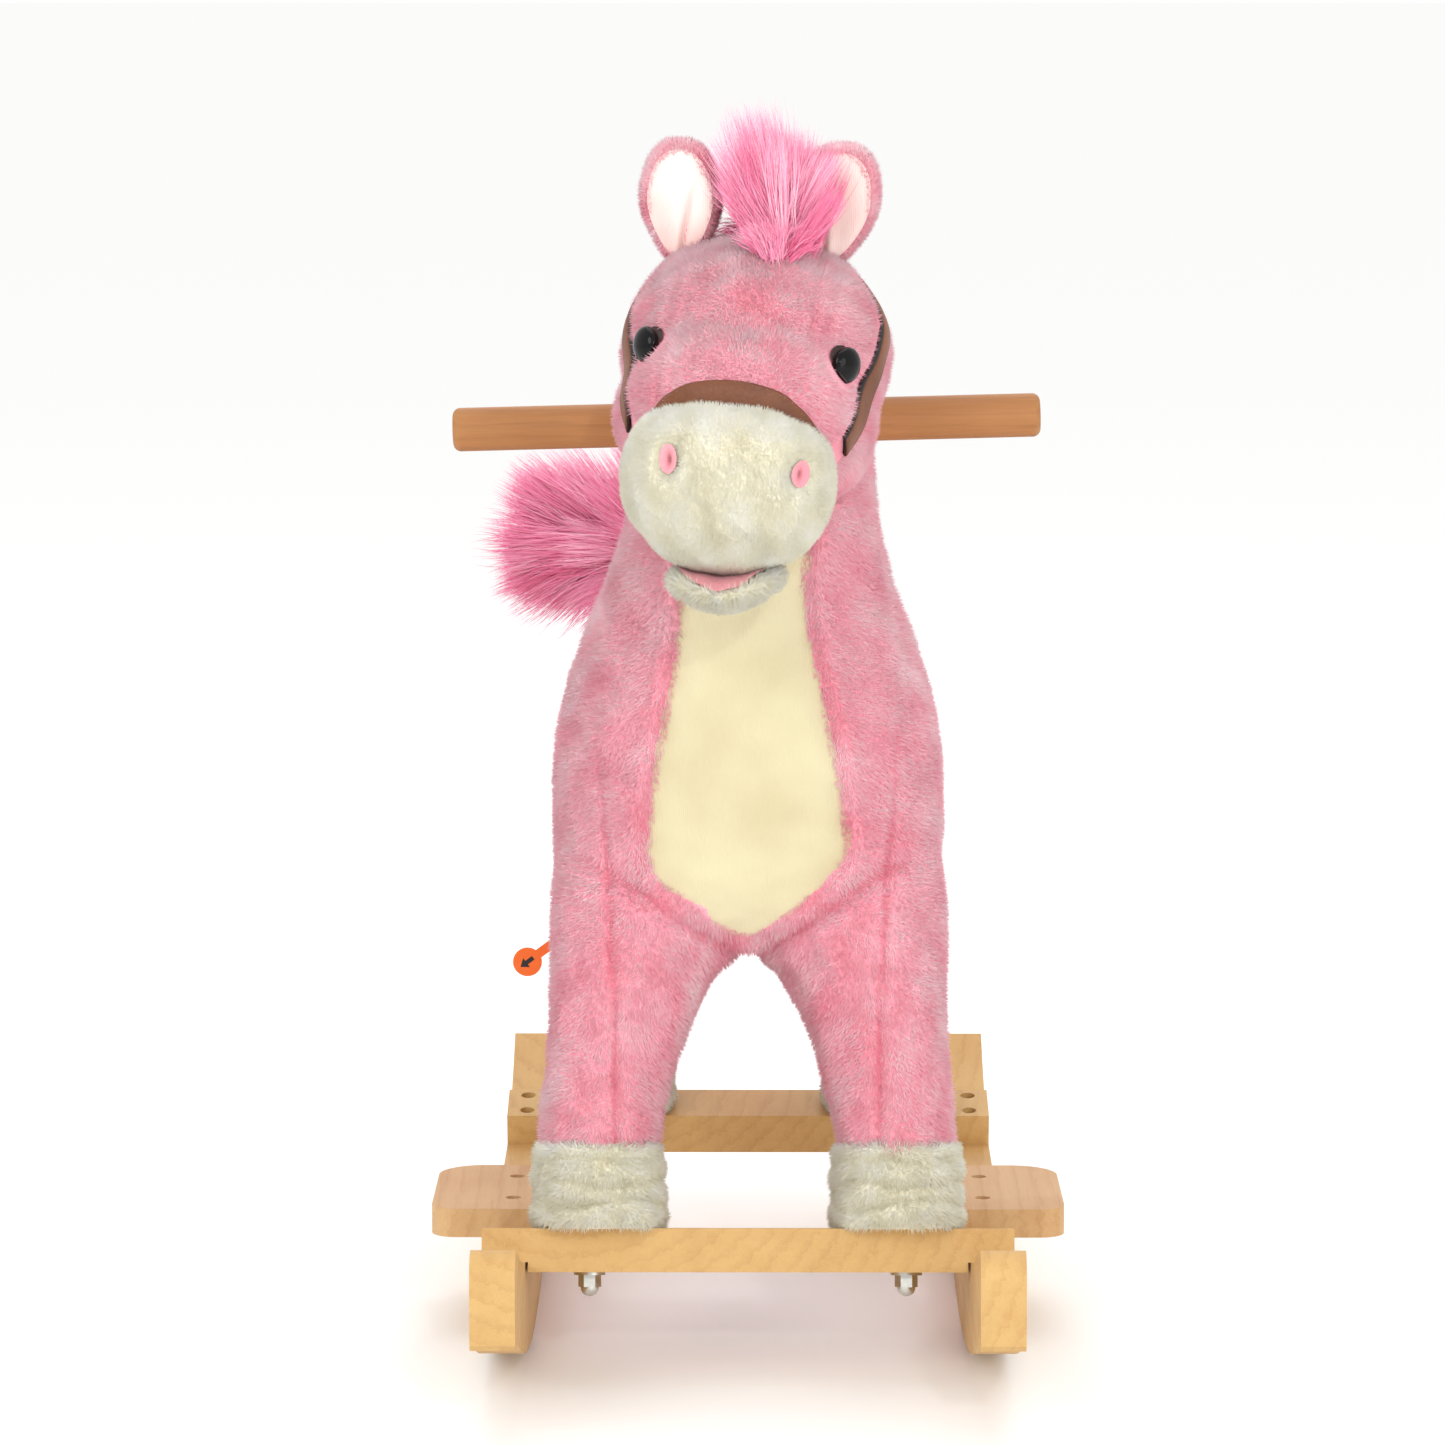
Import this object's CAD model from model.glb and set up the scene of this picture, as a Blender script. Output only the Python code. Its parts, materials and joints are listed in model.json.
"""Looks of a plush rocking horse on a wooden rocker base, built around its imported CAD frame.

Lengths inside the modelling functions are in millimetres and become metres when a mesh is made.
+X is the horse's left, the horse looks along -Y, +Z is up.
"""
import json
import math

import bpy
import numpy as np
from mathutils import Matrix, Vector
from mathutils.bvhtree import BVHTree


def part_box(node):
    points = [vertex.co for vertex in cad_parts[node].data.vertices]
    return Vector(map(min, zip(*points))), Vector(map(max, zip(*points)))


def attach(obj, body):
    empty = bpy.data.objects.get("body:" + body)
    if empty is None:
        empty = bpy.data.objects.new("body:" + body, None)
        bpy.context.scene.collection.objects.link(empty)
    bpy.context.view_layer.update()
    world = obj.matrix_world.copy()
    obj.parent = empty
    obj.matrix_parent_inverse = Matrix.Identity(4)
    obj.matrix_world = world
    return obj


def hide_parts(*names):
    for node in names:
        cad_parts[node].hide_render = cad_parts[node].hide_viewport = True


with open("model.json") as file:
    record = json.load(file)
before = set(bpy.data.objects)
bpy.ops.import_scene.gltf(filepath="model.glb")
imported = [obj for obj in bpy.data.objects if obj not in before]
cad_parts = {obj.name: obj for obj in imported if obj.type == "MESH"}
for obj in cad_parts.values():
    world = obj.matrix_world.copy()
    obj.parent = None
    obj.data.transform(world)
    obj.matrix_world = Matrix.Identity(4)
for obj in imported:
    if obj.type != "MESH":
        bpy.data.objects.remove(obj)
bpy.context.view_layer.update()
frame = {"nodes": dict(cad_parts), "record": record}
NODES = frame["nodes"]
scene = bpy.context.scene
MM = 0.001


# ---------------------------------------------------------------- camera, light and floor

def make_stage():
    """The camera at the eye height of the picture, a pale floor and soft studio lights."""
    camera_data = bpy.data.cameras.new("camera")
    camera_data.lens, camera_data.sensor_width = 151.07, 36
    camera_data.clip_end = 50
    camera = bpy.data.objects.new("camera", camera_data)
    camera.location = (0, -3.150, 0.7364)
    camera.rotation_euler = (math.radians(90 - 7.606), 0, math.radians(0.2457))
    scene.collection.objects.link(camera)
    scene.camera = camera

    reach = 60.0
    mesh = bpy.data.meshes.new("floor")
    mesh.from_pydata([(-reach, -reach, 0), (reach, -reach, 0), (reach, reach, 0), (-reach, reach, 0)], [],
                     [(0, 1, 2, 3)])
    floor = bpy.data.objects.new("floor", mesh)
    scene.collection.objects.link(floor)
    mesh.materials.append(surface("floor", rgb(251, 251, 250), 0.95, Specular_IOR_Level=0.0))

    lamps = (("key", (-1.6, -2.7, 1.9), 1.9, 27), ("fill", (1.9, -2.9, 1.0), 2.2, 20),
             ("top", (0, 0.3, 2.9), 2.4, 15), ("rim", (0.2, 2.2, 1.9), 2.0, 12),
             ("spark", (0.45, -2.6, 1.25), 0.12, 9))
    for name, place, size, power in lamps:
        data = bpy.data.lights.new(name, "AREA")
        data.shape, data.size, data.energy = "DISK", size, power
        lamp = bpy.data.objects.new(name, data)
        lamp.location = place
        aim = Vector((0, 0, 0.32)) - Vector(place)
        lamp.rotation_euler = aim.to_track_quat("-Z", "Y").to_euler()
        scene.collection.objects.link(lamp)
    world = bpy.data.worlds.new("studio")
    world.use_nodes = True
    world.node_tree.nodes["Background"].inputs[0].default_value = (1, 1, 1, 1)
    world.node_tree.nodes["Background"].inputs[1].default_value = 1.0
    scene.world = world
    scene.view_settings.view_transform = "Standard"


# ---------------------------------------------------------------- materials

def rgb(red, green, blue):
    """A display colour, 0 to 255 a channel, as linear light."""
    out = []
    for value in (red, green, blue):
        value /= 255
        out.append(value / 12.92 if value <= 0.04045 else ((value + 0.055) / 1.055) ** 2.4)
    return (*out, 1.0)


def surface(name, colour, roughness, **sockets):
    """A Principled material; the sockets are named with _ for a space."""
    made = bpy.data.materials.new(name)
    made.use_nodes = True
    made.diffuse_color = colour
    shader = made.node_tree.nodes["Principled BSDF"]
    shader.inputs["Base Color"].default_value = colour
    shader.inputs["Roughness"].default_value = roughness
    for socket, value in sockets.items():
        shader.inputs[socket.replace("_", " ")].default_value = value
    return made


class Graph:
    """Short ways to add nodes to a material."""

    def __init__(self, made):
        self.tree = made.node_tree
        self.shader = self.tree.nodes["Principled BSDF"]
        self.place = self.tree.nodes.new("ShaderNodeTexCoord").outputs["Object"]

    def add(self, kind, links=(), **values):
        new = self.tree.nodes.new("ShaderNode" + kind)
        for key, value in values.items():
            setattr(new, key, value)
        for socket, value in dict(links).items():
            if isinstance(value, bpy.types.NodeSocket):
                self.tree.links.new(value, new.inputs[socket])
            else:
                new.inputs[socket].default_value = value
        return new

    def stretched(self, scale, offset=(0, 0, 0), turn=(0, 0, 0)):
        return self.add("Mapping", {"Vector": self.place, "Scale": scale, "Location": offset,
                                    "Rotation": turn}).outputs[0]

    def noise(self, vector, scale, detail=3.0, roughness=0.55, distortion=0.0):
        return self.add("TexNoise", {"Vector": vector, "Scale": scale, "Detail": detail,
                                     "Roughness": roughness, "Distortion": distortion}).outputs[0]

    def ramp(self, factor, stops):
        new = self.add("ValToRGB", {"Fac": factor})
        band = new.color_ramp
        while len(band.elements) < len(stops):
            band.elements.new(0.5)
        for element, (at, colour) in zip(band.elements, stops):
            element.position, element.color = at, colour
        return new.outputs[0]

    def mix(self, factor, first, second, how="MIX"):
        new = self.add("Mix", {}, data_type="RGBA", blend_type=how)
        for socket, value in ((new.inputs[0], factor), (new.inputs[6], first), (new.inputs[7], second)):
            if isinstance(value, bpy.types.NodeSocket):
                self.tree.links.new(value, socket)
            else:
                socket.default_value = value
        return new.outputs[2]

    def maths(self, how, first, second):
        return self.add("Math", {0: first, 1: second}, operation=how).outputs[0]

    def mask(self, name):
        return self.add("Attribute", {}, attribute_name=name).outputs["Fac"]

    def colour(self, socket):
        self.tree.links.new(socket, self.shader.inputs["Base Color"])

    def rough(self, factor, low, high):
        spread = self.add("MapRange", {"Value": factor, "To Min": low, "To Max": high}).outputs[0]
        self.tree.links.new(spread, self.shader.inputs["Roughness"])

    def bump(self, height, strength, distance):
        new = self.add("Bump", {"Height": height, "Strength": strength, "Distance": distance})
        self.tree.links.new(new.outputs[0], self.shader.inputs["Normal"])


def plush(name, deep, middle, pale, patch=26.0):
    """Short-pile plush: soft patches where the nap lies another way, fine fibres, deep colour in seams."""
    made = surface(name, middle, 0.92, Sheen_Weight=0.45, Sheen_Roughness=0.6, Specular_IOR_Level=0.1)
    made.node_tree.nodes["Principled BSDF"].inputs["Sheen Tint"].default_value = pale
    g = Graph(made)
    patches = g.noise(g.stretched((1, 1, 0.6)), patch, 3.0, 0.55, 0.4)
    fibres = g.noise(g.stretched((1, 1, 0.22)), 900.0, 2.0, 0.7)
    tone = g.ramp(patches, ((0.32, deep), (0.52, middle), (0.74, pale)))
    tone = g.mix(0.32, tone, g.ramp(fibres, ((0.3, deep), (0.7, pale))))
    tone = g.mix(g.mask("seam"), tone, deep)
    g.colour(tone)
    g.bump(fibres, 0.5, 0.0012)
    return made


def velour(name, colour, shade):
    """Smooth brushed cloth with a faint upright weave."""
    made = surface(name, colour, 0.85, Sheen_Weight=0.35, Sheen_Roughness=0.5, Specular_IOR_Level=0.15)
    g = Graph(made)
    rows = g.add("TexWave", {"Vector": g.place, "Scale": 300.0, "Distortion": 1.2, "Detail": 2.0},
                 bands_direction="X").outputs["Fac"]
    pile = g.noise(g.stretched((1, 1, 0.25)), 1300.0, 2.0, 0.7)
    clouds = g.noise(g.place, 18.0, 2.0)
    tone = g.ramp(clouds, ((0.3, shade), (0.65, colour)))
    tone = g.mix(0.10, tone, g.ramp(rows, ((0.2, shade), (0.8, colour))), "MULTIPLY")
    tone = g.mix(g.mask("seam"), tone, shade)
    g.colour(tone)
    g.bump(g.maths("ADD", g.maths("MULTIPLY", rows, 0.35), pile), 0.35, 0.0006)
    return made


def wood(name, light, dark, grain, rings=(0.05, 0.07), spacing=210.0):
    """Timber with its growth rings about an axis along the grain, beside the board."""
    made = surface(name, light, 0.55, Specular_IOR_Level=0.35)
    turn = {"x": (0, math.radians(90), 0), "y": (math.radians(90), 0, 0), "z": (0, 0, 0)}[grain]
    g = Graph(made)
    lay = g.stretched((1, 1, 1), (rings[0], rings[1], 0), turn)
    slow = g.add("Mapping", {"Vector": lay, "Scale": (1, 1, 0.06)}).outputs[0]
    fast = g.add("Mapping", {"Vector": lay, "Scale": (1, 1, 0.03)}).outputs[0]
    bands = g.add("TexWave", {"Vector": slow, "Scale": spacing / 6.28, "Distortion": 3.4, "Detail": 3.0,
                              "Detail Scale": 7.0, "Detail Roughness": 0.6},
                  wave_type="RINGS", rings_direction="Z", wave_profile="SAW").outputs["Fac"]
    fibres = g.noise(fast, 1500.0, 3.0, 0.65)
    flecks = g.noise(slow, 90.0, 4.0, 0.6, 0.3)
    clouds = g.noise(lay, 14.0, 2.0)
    tone = g.ramp(bands, ((0.0, light), (0.55, light), (0.93, dark), (1.0, light)))
    tone = g.mix(0.45, light, tone)
    tone = g.mix(0.28, tone, g.ramp(fibres, ((0.35, dark), (0.6, light))))
    tone = g.mix(0.22, tone, g.ramp(flecks, ((0.3, dark), (0.62, light))))
    tone = g.mix(0.25, tone, g.ramp(clouds, ((0.35, dark), (0.6, light))))
    g.colour(tone)
    g.rough(fibres, 0.45, 0.68)
    g.bump(g.maths("ADD", fibres, g.maths("MULTIPLY", bands, 0.6)), 0.22, 0.0004)
    return made


def metal(name, colour, roughness):
    made = surface(name, colour, roughness, Metallic=1.0)
    g = Graph(made)
    blur = g.noise(g.place, 420.0, 3.0)
    bright = tuple(min(1.0, c * 1.12) for c in colour[:3]) + (1.0,)
    g.colour(g.ramp(blur, ((0.3, colour), (0.7, bright))))
    g.rough(blur, roughness * 0.75, roughness * 1.35)
    g.bump(blur, 0.08, 0.0002)
    return made


def grained(name, colour, dark, roughness, scale, strength=0.3, **sockets):
    """Leather, suede, felt or moulded plastic, by its grain's scale."""
    made = surface(name, colour, roughness, **sockets)
    g = Graph(made)
    cells = g.add("TexVoronoi", {"Vector": g.place, "Scale": scale}).outputs["Distance"]
    dust = g.noise(g.place, scale * 1.7, 3.0)
    clouds = g.noise(g.place, 22.0, 3.0)
    tone = g.ramp(clouds, ((0.3, dark), (0.65, colour)))
    tone = g.mix(0.25, tone, g.ramp(cells, ((0.0, colour), (0.8, dark))))
    tone = g.mix(g.mask("seam"), tone, between(dark, rgb(60, 20, 20), 0.6))
    g.colour(tone)
    g.rough(dust, max(0.05, roughness - 0.1), min(1.0, roughness + 0.1))
    g.bump(g.maths("ADD", cells, g.maths("MULTIPLY", dust, 0.5)), strength, 0.0004)
    return made


PINK = (rgb(246, 140, 160), rgb(254, 182, 194), rgb(255, 216, 222))
PINK_SKIN = (rgb(230, 128, 146), rgb(240, 158, 173), rgb(247, 186, 198))     # under the pile
CREAM = (rgb(232, 224, 194), rgb(243, 238, 214), rgb(251, 249, 238))
HAIR = (rgb(228, 112, 150), rgb(243, 152, 186), rgb(252, 196, 214))


# ---------------------------------------------------------------- mesh tools

def unit(vectors):
    return vectors / np.maximum(np.linalg.norm(vectors, axis=-1, keepdims=True), 1e-9)


def build(name, verts, faces, made, body="horse", smooth=True):
    """A piece from vertices in millimetres, riding on a CAD body."""
    mesh = bpy.data.meshes.new(name)
    mesh.from_pydata((np.asarray(verts, float) * MM).tolist(), [], [tuple(f) for f in faces])
    mesh.polygons.foreach_set("use_smooth", [smooth] * len(mesh.polygons))
    piece = bpy.data.objects.new(name, mesh)
    scene.collection.objects.link(piece)
    for one in made if isinstance(made, (list, tuple)) else [made]:
        mesh.materials.append(one)
    if body:
        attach(piece, body)
    return piece


def grid_faces(rows, columns, closed):
    """Quads over a grid of rows by columns; closed joins the last column to the first."""
    faces = []
    for r in range(rows - 1):
        for c in range(columns if closed else columns - 1):
            d = (c + 1) % columns
            faces.append((r * columns + c, r * columns + d, (r + 1) * columns + d, (r + 1) * columns + c))
    return faces


def blob(centre, half, turn=None, power=2.0, count=36):
    """A closed rounded form; power above 2 squares it off."""
    up = np.linspace(-math.pi / 2, math.pi / 2, count)[1:-1]
    round_ = np.linspace(0, 2 * math.pi, 2 * count, endpoint=False)
    u, v = np.meshgrid(up, round_, indexing="ij")
    way = np.stack([np.cos(u) * np.cos(v), np.cos(u) * np.sin(v), np.sin(u)], -1).reshape(-1, 3)
    way = np.vstack([way, [(0, 0, -1), (0, 0, 1)]])
    reach = (np.abs(way) ** power).sum(1) ** (-1 / power)
    points = way * reach[:, None] * np.array(half)
    if turn is not None:
        points = points @ np.array(turn.to_3x3()).T
    faces = grid_faces(count - 2, 2 * count, True)
    last = (count - 2) * 2 * count
    for c in range(2 * count):
        d = (c + 1) % (2 * count)
        faces += [(last, d, c), (last + 1, (count - 3) * 2 * count + c, (count - 3) * 2 * count + d)]
    return points + np.array(centre), faces


def loft(levels, around=56, power=2.0):
    """A closed form through level ovals: (x, y, z, half x, half y) each, joined by a smooth curve."""
    levels = np.array(levels, float)
    steps = np.linspace(0, len(levels) - 1, 8 * (len(levels) - 1) + 1)
    rows = []
    for s in steps:
        i = min(int(s), len(levels) - 2)
        t = s - i
        p0, p1, p2, p3 = (levels[min(max(i + k, 0), len(levels) - 1)] for k in (-1, 0, 1, 2))
        rows.append(0.5 * (2 * p1 + (p2 - p0) * t + (2 * p0 - 5 * p1 + 4 * p2 - p3) * t * t
                           + (3 * p1 - p0 - 3 * p2 + p3) * t ** 3))
    turn = np.linspace(0, 2 * math.pi, around, endpoint=False)
    c, s = np.cos(turn), np.sin(turn)
    reach = (np.abs(c) ** power + np.abs(s) ** power) ** (-1 / power)
    points = []
    for x, y, z, hx, hy in rows:
        points += [(x + hx * a * r, y + hy * b * r, z) for a, b, r in zip(c, s, reach)]
    faces = grid_faces(len(rows), around, True)
    points += [tuple(rows[0][:3]), tuple(rows[-1][:3])]
    last = len(rows) * around
    for k in range(around):
        j = (k + 1) % around
        faces += [(last, j, k), (last + 1, last - around + k, last - around + j)]
    return np.array(points), faces


def placed(form, matrix):
    points, faces = form
    m = np.array(matrix)
    return points @ m[:3, :3].T + m[:3, 3], faces


def melted(name, forms, voxel, rounds, made, body, finer=1):
    """Overlapping forms joined into one skin and softened where they meet."""
    verts, faces = [], []
    for points, quads in forms:
        base = sum(len(v) for v in verts)
        verts.append(points)
        faces += [tuple(i + base for i in f) for f in quads]
    rough = build(name, np.vstack(verts), faces, made, None)
    join = rough.modifiers.new("join", "REMESH")
    join.mode, join.voxel_size, join.use_smooth_shade = "VOXEL", voxel * MM, True
    soft = rough.modifiers.new("soft", "SMOOTH")
    soft.factor, soft.iterations = 0.5, rounds
    settle(rough)
    stuff(rough)
    if finer:
        fine = rough.modifiers.new("fine", "SUBSURF")
        fine.levels = fine.render_levels = finer
        settle(rough)
    rough.data.polygons.foreach_set("use_smooth", [True] * len(rough.data.polygons))
    if body:
        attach(rough, body)
    return rough


def settle(piece):
    """Applies a piece's modifiers."""
    bpy.context.view_layer.update()
    shape = bpy.data.meshes.new_from_object(piece.evaluated_get(bpy.context.evaluated_depsgraph_get()))
    old, piece.data = piece.data, shape
    piece.modifiers.clear()
    bpy.data.meshes.remove(old)


def stuff(piece, pressure=3.0, frames=12, cap=3.5):
    """Fills a skin like a stuffed toy: cloth under pressure, with how far a point may move capped."""
    rest = coords(piece)
    cloth = piece.modifiers.new("stuffing", "CLOTH")
    cloth.settings.quality = 4
    cloth.settings.use_pressure = True
    cloth.settings.uniform_pressure_force = pressure
    cloth.settings.tension_stiffness = cloth.settings.compression_stiffness = 25
    cloth.settings.bending_stiffness = 4
    cloth.settings.effector_weights.gravity = 0
    cloth.collision_settings.use_collision = False
    cloth.point_cache.frame_start, cloth.point_cache.frame_end = 1, frames
    for step in range(1, frames + 1):
        scene.frame_set(step)
    settle(piece)
    scene.frame_set(1)
    moved = coords(piece) - rest
    moved -= moved.mean(0)
    far = np.linalg.norm(moved, axis=1, keepdims=True)
    set_coords(piece, rest + moved * np.minimum(1, cap / np.maximum(far, 1e-6)))


def coords(piece):
    """A piece's points in millimetres."""
    flat = np.zeros(len(piece.data.vertices) * 3, np.float32)
    piece.data.vertices.foreach_get("co", flat)
    return flat.reshape(-1, 3).astype(float) / MM


def set_coords(piece, points):
    piece.data.vertices.foreach_set("co", (points * MM).astype(np.float32).ravel())
    piece.data.update()


def normals(piece):
    flat = np.zeros(len(piece.data.vertices) * 3, np.float32)
    piece.data.vertex_normals.foreach_get("vector", flat)
    return flat.reshape(-1, 3).astype(float)


def push(piece, amount):
    """Moves each point along its normal by its own amount."""
    set_coords(piece, coords(piece) + normals(piece) * np.asarray(amount)[:, None])


def mark(piece, values, name="seam"):
    layer = piece.data.attributes.get(name) or piece.data.attributes.new(name, "FLOAT", "POINT")
    layer.data.foreach_set("value", np.clip(values, 0, 1).astype(np.float32))


def skin(piece):
    """A piece's surface for rays and nearest points, in millimetres."""
    return BVHTree.FromPolygons([tuple(p) for p in coords(piece)],
                                [tuple(f.vertices) for f in piece.data.polygons])


def lumps(points, size, seed=0):
    """Smooth values from about -1 to 1 that change over the given size, by summed waves."""
    rng = np.random.default_rng(seed)
    total = np.zeros(len(points))
    for _ in range(9):
        way = rng.normal(size=3)
        way /= np.linalg.norm(way)
        total += np.sin(points @ way * (2 * math.pi / (size * rng.uniform(0.7, 1.5))) + rng.uniform(0, 6.28))
    return total / 3.2


def line_gap(points, line):
    """Distance from each point to a polyline."""
    best = np.full(len(points), 1e9)
    line = np.array(line, float)
    for a, b in zip(line[:-1], line[1:]):
        d = b - a
        t = np.clip(((points - a) @ d) / max(d @ d, 1e-9), 0, 1)
        best = np.minimum(best, np.linalg.norm(points - a - t[:, None] * d, axis=1))
    return best


def inside(points, outline):
    """Which 2D points lie in an outline, and each one's distance to it."""
    outline = np.array(outline, float)
    x, y = points[:, 0], points[:, 1]
    hit = np.zeros(len(points), bool)
    for (x1, y1), (x2, y2) in zip(outline, np.roll(outline, -1, 0)):
        cross = (y1 > y) != (y2 > y)
        at = (x2 - x1) * (y - y1) / ((y2 - y1) if y2 != y1 else 1e-9) + x1
        hit ^= cross & (x < at)
    return hit, line_gap(points, np.vstack([outline, outline[:1]]))


def smooth_line(points, steps=8, closed=False):
    """A Catmull-Rom curve through points."""
    points = np.array(points, float)
    count = len(points)
    out = []
    for i in range(count if closed else count - 1):
        if closed:
            p0, p1, p2, p3 = (points[(i + k) % count] for k in (-1, 0, 1, 2))
        else:
            p0, p1, p2, p3 = (points[min(max(i + k, 0), count - 1)] for k in (-1, 0, 1, 2))
        for t in np.arange(steps) / steps:
            out.append(0.5 * (2 * p1 + (p2 - p0) * t + (2 * p0 - 5 * p1 + 4 * p2 - p3) * t * t
                              + (3 * p1 - p0 - 3 * p2 + p3) * t ** 3))
    if not closed:
        out.append(points[-1])
    return np.array(out)


# ---------------------------------------------------------------- pile and hair

def shades(name, colours, roughness=0.8, sheen=0.28):
    """A few close shades for strands; each strand takes one, so the pile varies as real pile does."""
    made = []
    for number, colour in enumerate(colours):
        one = surface("%s_%d" % (name, number), colour, roughness, Sheen_Weight=sheen,
                      Sheen_Roughness=0.5, Specular_IOR_Level=0.15)
        one.node_tree.nodes["Principled BSDF"].inputs["Sheen Tint"].default_value = colours[-1]
        made.append(one)
    return made


def between(first, second, share):
    return tuple(a + (b - a) * share for a, b in zip(first, second))


def five(colours, share=0.5):
    """Three colours with one between each pair."""
    return [colours[0], between(colours[0], colours[1], share), colours[1],
            between(colours[1], colours[2], share), colours[2]]


def roots_on(piece, count, rng, keep=None):
    """Even random roots over a skin, with its smooth normals. keep(points) says which may grow."""
    mesh = piece.data
    mesh.calc_loop_triangles()
    tri = np.zeros(len(mesh.loop_triangles) * 3, np.int32)
    mesh.loop_triangles.foreach_get("vertices", tri)
    tri = tri.reshape(-1, 3)
    points, normal = coords(piece), normals(piece)
    a, b, c = points[tri[:, 0]], points[tri[:, 1]], points[tri[:, 2]]
    if keep is not None:
        wanted = keep((a + b + c) / 3)
        tri, a, b, c = tri[wanted], a[wanted], b[wanted], c[wanted]
    deep = np.zeros(len(points))
    if "seam" in mesh.attributes:
        mesh.attributes["seam"].data.foreach_get("value", deep)
    area = np.linalg.norm(np.cross(b - a, c - a), axis=1)
    pick = np.searchsorted(np.cumsum(area) / area.sum(), (np.arange(count) + rng.random(count)) / count)
    pick = np.minimum(pick, len(tri) - 1)
    u, v = rng.random(count), rng.random(count)
    flip = u + v > 1
    u[flip], v[flip] = 1 - u[flip], 1 - v[flip]
    w = 1 - u - v
    root = a[pick] * w[:, None] + b[pick] * u[:, None] + c[pick] * v[:, None]
    way = unit(normal[tri[pick, 0]] * w[:, None] + normal[tri[pick, 1]] * u[:, None]
               + normal[tri[pick, 2]] * v[:, None])
    return root, way, deep[tri[pick, 0]]


def strands(name, lines, width, look, body, shade, leaf, softness=0.6):
    """Tapered flat strands along lines (count, steps, 3). leaf gives the skin's normal for soft shading."""
    count, steps, _ = lines.shape
    rng = np.random.default_rng(len(name) * 7 + count)
    along = unit(np.gradient(lines, axis=1))
    side = unit(np.cross(leaf[:, None, :], along) + 0.30 * rng.normal(size=(count, 1, 3)))
    side = side * np.sign((np.cross(side, along) * leaf[:, None, :]).sum(-1).sum(1) + 1e-9)[:, None, None]
    taper = np.linspace(1.0, 0.12, steps)[None, :, None] ** 0.8
    wide = np.broadcast_to(np.asarray(width, float).reshape(-1, 1, 1), (count, 1, 1)) * taper / 2
    left, right = lines - side * wide, lines + side * wide
    per = 2 * (steps - 1) + 1
    verts = np.empty((count, per, 3))
    verts[:, 0:-1:2], verts[:, 1:-1:2] = left[:, :-1], right[:, :-1]
    verts[:, -1] = lines[:, -1]
    faces = []
    for s in range(steps - 2):
        k = 2 * s
        faces += [(k, k + 1, k + 3), (k, k + 3, k + 2)]
    k = 2 * (steps - 2)
    faces.append((k, k + 1, k + 2))
    faces = np.array(faces)
    every = (faces[None] + (np.arange(count) * per)[:, None, None]).reshape(-1, 3)
    soft = unit(leaf[:, None, :] * softness + unit(np.cross(side, along)) * (1 - softness))
    point = np.empty((count, per, 3))
    point[:, 0:-1:2], point[:, 1:-1:2], point[:, -1] = soft[:, :-1], soft[:, :-1], soft[:, -1]
    return strand_mesh(name, verts, point, every, np.repeat(shade, len(faces)), look, body)


def spikes(name, root, tip, width, look, body, shade, leaf, softness=0.86):
    """Fine three-sided spikes, closed all round so that they catch light from every side."""
    count = len(root)
    along = unit(tip - root)
    side = unit(np.cross(leaf + 0.37, along))
    other = np.cross(along, side)
    wide = np.broadcast_to(np.asarray(width, float).reshape(-1, 1), (count, 1)) / 2
    verts, point = np.empty((count, 4, 3)), np.empty((count, 4, 3))
    for k in range(3):
        out = side * math.cos(2.0944 * k) + other * math.sin(2.0944 * k)
        verts[:, k] = root + out * wide
        point[:, k] = unit(leaf * softness + out * (1 - softness))
    verts[:, 3], point[:, 3] = tip, unit(leaf * softness + along * (1 - softness))
    faces = np.array([(0, 1, 3), (1, 2, 3), (2, 0, 3)])
    every = (faces[None] + (np.arange(count) * 4)[:, None, None]).reshape(-1, 3)
    return strand_mesh(name, verts, point, every, np.repeat(shade, 3), look, body)


def strand_mesh(name, verts, point, every, shade, look, body):
    """A piece of loose triangles with its own soft normals and one of the shades on each."""
    mesh = bpy.data.meshes.new(name)
    mesh.vertices.add(verts.size // 3)
    mesh.vertices.foreach_set("co", (verts.reshape(-1) * MM).astype(np.float32))
    mesh.loops.add(len(every) * 3)
    mesh.loops.foreach_set("vertex_index", every.astype(np.int32).ravel())
    mesh.polygons.add(len(every))
    mesh.polygons.foreach_set("loop_start", np.arange(0, len(every) * 3, 3, dtype=np.int32))
    mesh.polygons.foreach_set("material_index", np.clip(shade, 0, len(look) - 1).astype(np.int32))
    mesh.update(calc_edges=True)
    mesh.polygons.foreach_set("use_smooth", [True] * len(every))
    mesh.normals_split_custom_set_from_vertices(point.reshape(-1, 3).tolist())
    piece = bpy.data.objects.new(name, mesh)
    scene.collection.objects.link(piece)
    for one in look:
        mesh.materials.append(one)
    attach(piece, body)
    return piece


def pile(name, piece, count, length, width, look, body, flow, keep=None, lean=0.55, seed=1, patch=24.0):
    """Short plush pile over a skin. flow(points) gives the way that the nap lies."""
    rng = np.random.default_rng(seed)
    root, way, seam = roots_on(piece, count, rng, keep)
    lay = flow(root)
    lay = lay - way * (lay * way).sum(1, keepdims=True)
    swirl = np.stack([lumps(root, patch, seed + k) for k in range(3)], 1)
    lean_now = lean * (0.75 + 0.5 * np.clip(lumps(root, patch * 1.4, seed + 9), -1, 1))[:, None]
    start = unit(way + lay * lean_now + swirl * 0.11 + rng.normal(size=way.shape) * 0.15)
    size = length * (rng.uniform(0.65, 1.1, len(root)) * (1 - 0.6 * seam))[:, None]
    tone = lumps(root, patch, seed + 21) * 0.7 + rng.normal(size=len(root)) * 0.55 - 3.4 * seam
    tone += 1.3 * np.clip(way[:, 2], 0, 1)
    middle = (len(look) - 1) / 2
    return spikes(name, root - way * 0.8, root + start * size, width, look, body,
                  np.round(middle + tone).astype(int), way)


# ---------------------------------------------------------------- body, panel and legs

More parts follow.
